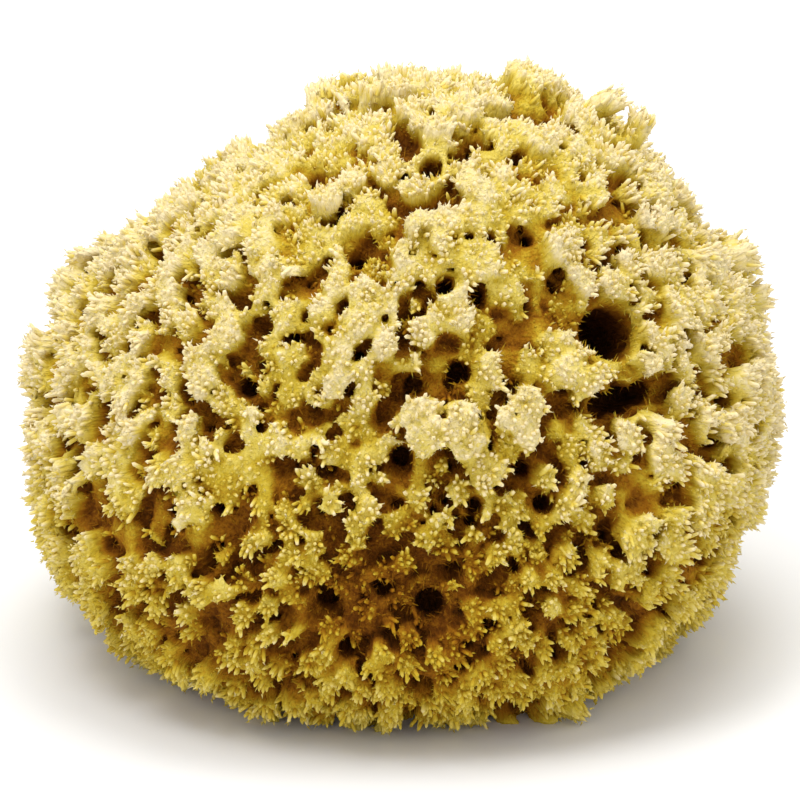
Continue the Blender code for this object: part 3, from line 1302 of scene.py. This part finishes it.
@dataclass(frozen=True)
class Spongin:
    """The dry fibre's finish: its colours, from painted shade in the crevices to painted light at the tips,
    and its grain.
    """

    name: str
    speckle: float
    speckle_scale: float
    patch: float
    bump: float
    bump_distance: float
    patch_scale: float = 140.0
    roughness: float = 0.94
    specular: float = 0.08
    # the fibre's own ochre, darkened to painted shade at tone 0 and paled to painted light at tone 1
    shaded_to_lit_colours: tuple[tuple[float, tuple[float, float, float]], ...] = (
        (0.00, (0.036, 0.012, 0.002)),
        (0.15, (0.145, 0.044, 0.003)),
        (0.30, (0.33, 0.130, 0.007)),
        (0.45, (0.44, 0.24, 0.012)),
        (0.62, (0.61, 0.44, 0.035)),
        (0.80, (0.75, 0.60, 0.130)),
        (1.00, (0.87, 0.74, 0.45)),
    )

    def material(self) -> bpy.types.Material:
        """Build the material.

        Returns:
            The material.
        """
        made = bpy.data.materials.new(self.name)
        made.use_nodes = True
        nodes, links = made.node_tree.nodes, made.node_tree.links
        surface = nodes["Principled BSDF"]
        surface.inputs["Roughness"].default_value = self.roughness
        surface.inputs["Metallic"].default_value = 0.0
        surface.inputs["Specular IOR Level"].default_value = self.specular
        stored = nodes.new("ShaderNodeAttribute")
        stored.attribute_name = "tone"
        grain = nodes.new("ShaderNodeGroup")
        grain.node_tree = Grain().group()
        grain.inputs["Speckle"].default_value = self.speckle
        grain.inputs["Speckle Scale"].default_value = self.speckle_scale
        grain.inputs["Patch"].default_value = self.patch
        grain.inputs["Patch Scale"].default_value = self.patch_scale
        ramp = nodes.new("ShaderNodeValToRGB")
        stops = ramp.color_ramp.elements
        stops[0].position, stops[1].position = self.shaded_to_lit_colours[0][0], self.shaded_to_lit_colours[-1][0]
        stops[0].color, stops[1].color = (*self.shaded_to_lit_colours[0][1], 1), (*self.shaded_to_lit_colours[-1][1], 1)
        for position, colour in self.shaded_to_lit_colours[1:-1]:
            stops.new(position).color = (*colour, 1)
        bump = nodes.new("ShaderNodeBump")
        bump.inputs["Strength"].default_value = self.bump
        bump.inputs["Distance"].default_value = self.bump_distance * MM
        links.new(stored.outputs["Fac"], grain.inputs["Tone"])
        links.new(grain.outputs["Tone"], ramp.inputs["Fac"])
        links.new(ramp.outputs["Color"], surface.inputs["Base Color"])
        links.new(grain.outputs["Height"], bump.inputs["Height"])
        links.new(bump.outputs["Normal"], surface.inputs["Normal"])
        return made


FINISHES = (
    Spongin("spongin_body", speckle=0.34, speckle_scale=1100.0, patch=0.26, bump=1.0, bump_distance=1.2),
    Spongin("spongin_tips", speckle=0.26, speckle_scale=1500.0, patch=0.2, bump=0.7, bump_distance=0.5),
)


@dataclass
class Piece:
    """A surface cut into pieces that are each small enough, as slices round the upright axis."""

    name: str
    points: Array
    faces: list[Array]
    tone: Array
    material: bpy.types.Material

    def make(self) -> None:
        """Make the pieces as objects that ride on the sponge's body."""
        angles = [self.angles(rows) for rows in self.faces]
        triangles = np.concatenate([np.full(len(rows), rows.shape[1] - 2) for rows in self.faces])
        order = np.argsort(np.concatenate(angles))
        total = np.cumsum(triangles[order])
        slices = math.ceil(total[-1] / MOST_TRIANGLES)
        ends = np.searchsorted(total, total[-1] * np.arange(1, slices) / slices)
        cuts = [-np.inf, *np.concatenate(angles)[order][ends], np.inf]
        for k, (low, high) in enumerate(zip(cuts, cuts[1:]), 1):
            chosen = [rows[(a >= low) & (a < high)] for a, rows in zip(angles, self.faces)]
            self.slice(f"{self.name}_{k}", chosen)

    def angles(self, rows: Array) -> Array:
        """Give the angle of each face's first corner round the upright axis, from behind the sponge."""
        corner = self.points[rows[:, 0]]
        return np.arctan2(corner[:, 0], -corner[:, 1])

    def slice(self, name: str, faces: list[Array]) -> None:
        """Make one piece of these faces.

        Args:
            name: The piece's name.
            faces: Its faces, as rows of the whole surface's corners.
        """
        used = np.unique(np.concatenate([rows.reshape(-1) for rows in faces]))
        new = np.zeros(len(self.points), np.int64)
        new[used] = np.arange(len(used))
        mesh = bpy.data.meshes.new(name)
        loops = np.concatenate([new[rows].reshape(-1) for rows in faces])
        sizes = np.concatenate([np.full(len(rows), rows.shape[1]) for rows in faces])
        mesh.vertices.add(len(used))
        mesh.vertices.foreach_set("co", (self.points[used] * MM).astype(np.float32).reshape(-1))
        mesh.loops.add(len(loops))
        mesh.loops.foreach_set("vertex_index", loops.astype(np.int32))
        mesh.polygons.add(len(sizes))
        mesh.polygons.foreach_set("loop_start", (np.cumsum(sizes) - sizes).astype(np.int32))
        mesh.update(calc_edges=True)
        mesh.shade_smooth()
        tone = mesh.attributes.new("tone", "FLOAT", "POINT")
        tone.data.foreach_set("value", self.tone[used].astype(np.float32))
        mesh.materials.append(self.material)
        made = bpy.data.objects.new(name, mesh)
        bpy.context.scene.collection.objects.link(made)
        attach(made, "root")
        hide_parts("sponge")
        log.info("%s: %d triangles", name, np.sum(sizes - 2))


@dataclass(frozen=True)
class Lamp:
    """A soft square lamp: its name, its place, the length of its side and its power in watts."""

    name: str
    place: tuple[float, float, float]
    side: float
    power: float

    def hang(self, aim: Vector) -> None:
        """Hang it so that it faces a point.

        Args:
            aim: The point.
        """
        light = bpy.data.lights.new(self.name, "AREA")
        light.size = self.side
        light.energy = self.power
        made = bpy.data.objects.new(self.name, light)
        made.location = self.place
        made.rotation_euler = (aim - Vector(self.place)).to_track_quat("-Z", "Y").to_euler()
        bpy.context.scene.collection.objects.link(made)


@dataclass(frozen=True)
class Studio:
    """A pale floor, soft light from above and the front, and a camera at the photograph's angle."""

    floor_side: float = 8.0
    floor_colour: tuple[float, float, float] = (0.86, 0.86, 0.86)
    floor_roughness: float = 0.9
    sky: float = 0.96
    lamps: tuple[Lamp, ...] = (
        Lamp("key", (-0.4, -0.42, 1.35), 0.5, 6.4),
        Lamp("top", (0.1, 0.1, 1.3), 0.7, 6.8),
    )
    eye_distance: float = 1.6
    eye_range: Pair = (0.05, 50.0)
    sensor: float = 36.0
    frame_width: float = 0.1762
    aim_right: float = -0.0007
    aim_up: float = 0.0004

    def floor(self) -> None:
        """Lay the floor."""
        half = self.floor_side / 2
        mesh = bpy.data.meshes.new("floor")
        corners = [(-half, -half, 0), (half, -half, 0), (half, half, 0), (-half, half, 0)]
        mesh.from_pydata(corners, [], [(0, 1, 2, 3)])
        paint = bpy.data.materials.new("floor")
        paint.use_nodes = True
        surface = paint.node_tree.nodes["Principled BSDF"]
        surface.inputs["Base Color"].default_value = (*self.floor_colour, 1)
        surface.inputs["Roughness"].default_value = self.floor_roughness
        mesh.materials.append(paint)
        made = bpy.data.objects.new("floor", mesh)
        bpy.context.scene.collection.objects.link(made)

    def build(self, form: Form) -> None:
        """Build the floor, the light and the camera.

        Args:
            form: The form they stand round.
        """
        scene = bpy.context.scene
        self.floor()
        world = bpy.data.worlds.new("studio")
        world.use_nodes = True
        background = world.node_tree.nodes["Background"]
        background.inputs["Color"].default_value = (1, 1, 1, 1)
        background.inputs["Strength"].default_value = self.sky
        scene.world = world
        middle = Vector(form.middle) * MM
        for lamp in self.lamps:
            lamp.hang(middle)
        eye = bpy.data.cameras.new("eye")
        eye.sensor_width = self.sensor
        eye.lens = eye.sensor_width * self.eye_distance / self.frame_width
        eye.clip_start, eye.clip_end = self.eye_range
        made = bpy.data.objects.new("eye", eye)
        aim = middle + Vector(form.right) * self.aim_right + Vector(form.up) * self.aim_up
        made.location = aim + Vector(form.toward) * self.eye_distance
        made.rotation_euler = (aim - made.location).to_track_quat("-Z", "Y").to_euler()
        scene.collection.objects.link(made)
        scene.camera = made
        scene.view_settings.view_transform = "Standard"


def main() -> None:
    """Build the sponge and its studio."""
    logging.basicConfig(level=logging.INFO, format="%(name)s: %(message)s")
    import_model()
    rng = np.random.default_rng(SEED)
    form = Form()
    tufts = Tufts(form)
    fingers = tufts.fingers(rng)
    log.info("%d fingers", len(fingers.tips))
    body = Body(form, tufts)
    skin = body.grow(fingers, rng)
    flesh, tips = (finish.material() for finish in FINISHES)
    # the body's corners carry their painted light and shade as the tone
    Piece("fibre_body", skin.points, [skin.triangles, skin.quads], PAINTED_SHADING.at(skin.setting), flesh).make()
    ends, hairs = FreeEnds(body).grow(fingers, rng)
    bristles = Bristles(body).grow(skin, rng)
    for name, grown in (("fibre_ends", ends), ("fibre_hairs", hairs), ("fibre_bristles", bristles)):
        points, triangles, tone = grown
        Piece(name, points, [triangles], np.clip(tone, 0, 1), tips).make()
    Studio().build(form)


if __name__ == "__main__":
    main()
